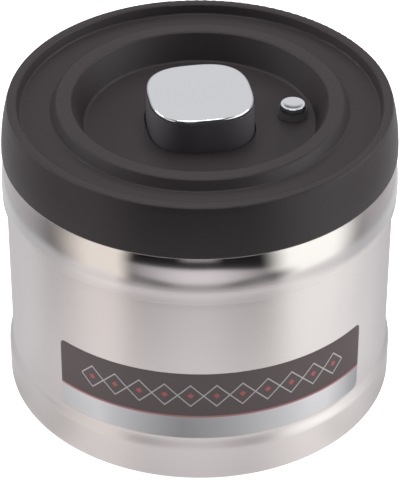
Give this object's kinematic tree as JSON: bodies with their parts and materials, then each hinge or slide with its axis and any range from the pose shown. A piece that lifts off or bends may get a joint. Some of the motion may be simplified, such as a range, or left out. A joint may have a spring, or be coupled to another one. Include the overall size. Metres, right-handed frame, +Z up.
{
  "type": "vacuum seal canister",
  "caption": "Round satin steel food canister with a dark push-on lid, a rounded-square vacuum pump button and a small release button sunk in its well.",
  "frame": {"origin": "centre of the base, on the surface the canister stands on", "axes": "+Z up along the axis of the pot, +X towards the release button, the label faces -Y"},
  "size_m": [0.1302, 0.1302, 0.1083],
  "materials": {
    "steel": "satin stainless steel",
    "label_film": "printed film",
    "lid_plastic": "fine matte charcoal moulding",
    "plate_plastic": "smooth charcoal moulding",
    "housing_plastic": "natural moulding",
    "button_plastic": "gloss black moulding",
    "chrome": "satin chrome plate",
    "silicone": "translucent grey silicone",
    "screw_steel": "plain stainless steel",
    "spring_steel": "drawn spring wire"
  },
  "bodies": {
    "canister": {"canister_body": "steel", "front_label": "label_film"},
    "lid": {"lid_cover": "lid_plastic", "mouth_gasket": "silicone", "inner_plate": "plate_plastic", "pump_housing": "housing_plastic", "housing_seal": "silicone", "housing_screws": "screw_steel", "plate_screws": "screw_steel", "cylinder_cap": "housing_plastic", "inlet_valve": "silicone", "strainer_cap": "housing_plastic", "release_housing": "button_plastic", "release_gasket": "silicone", "return_spring": "spring_steel", "release_spring": "spring_steel"},
    "pump_button": {"button_cap": "chrome", "button_skirt": "button_plastic", "piston": "housing_plastic", "piston_cup": "silicone", "rod_screw": "screw_steel"},
    "release_valve": {"release_button": "chrome", "release_stem": "screw_steel", "release_seal": "silicone"}
  },
  "joints": [
    {"name": "lid_lift", "type": "slide", "parent": "canister", "child": "lid", "axis": [0, 0, 1], "range_m": [0, 0.05]},
    {"name": "pump_press", "type": "slide", "parent": "lid", "child": "pump_button", "axis": [0, 0, -1], "range_m": [0, 0.008], "stiffness_N_per_m": 700, "springref_m": -0.008, "deforming": ["return_spring"]},
    {"name": "release_press", "type": "slide", "parent": "lid", "child": "release_valve", "axis": [0, 0, -1], "range_m": [0, 0.002], "stiffness_N_per_m": 900, "springref_m": -0.002, "deforming": ["release_spring"]}
  ]
}
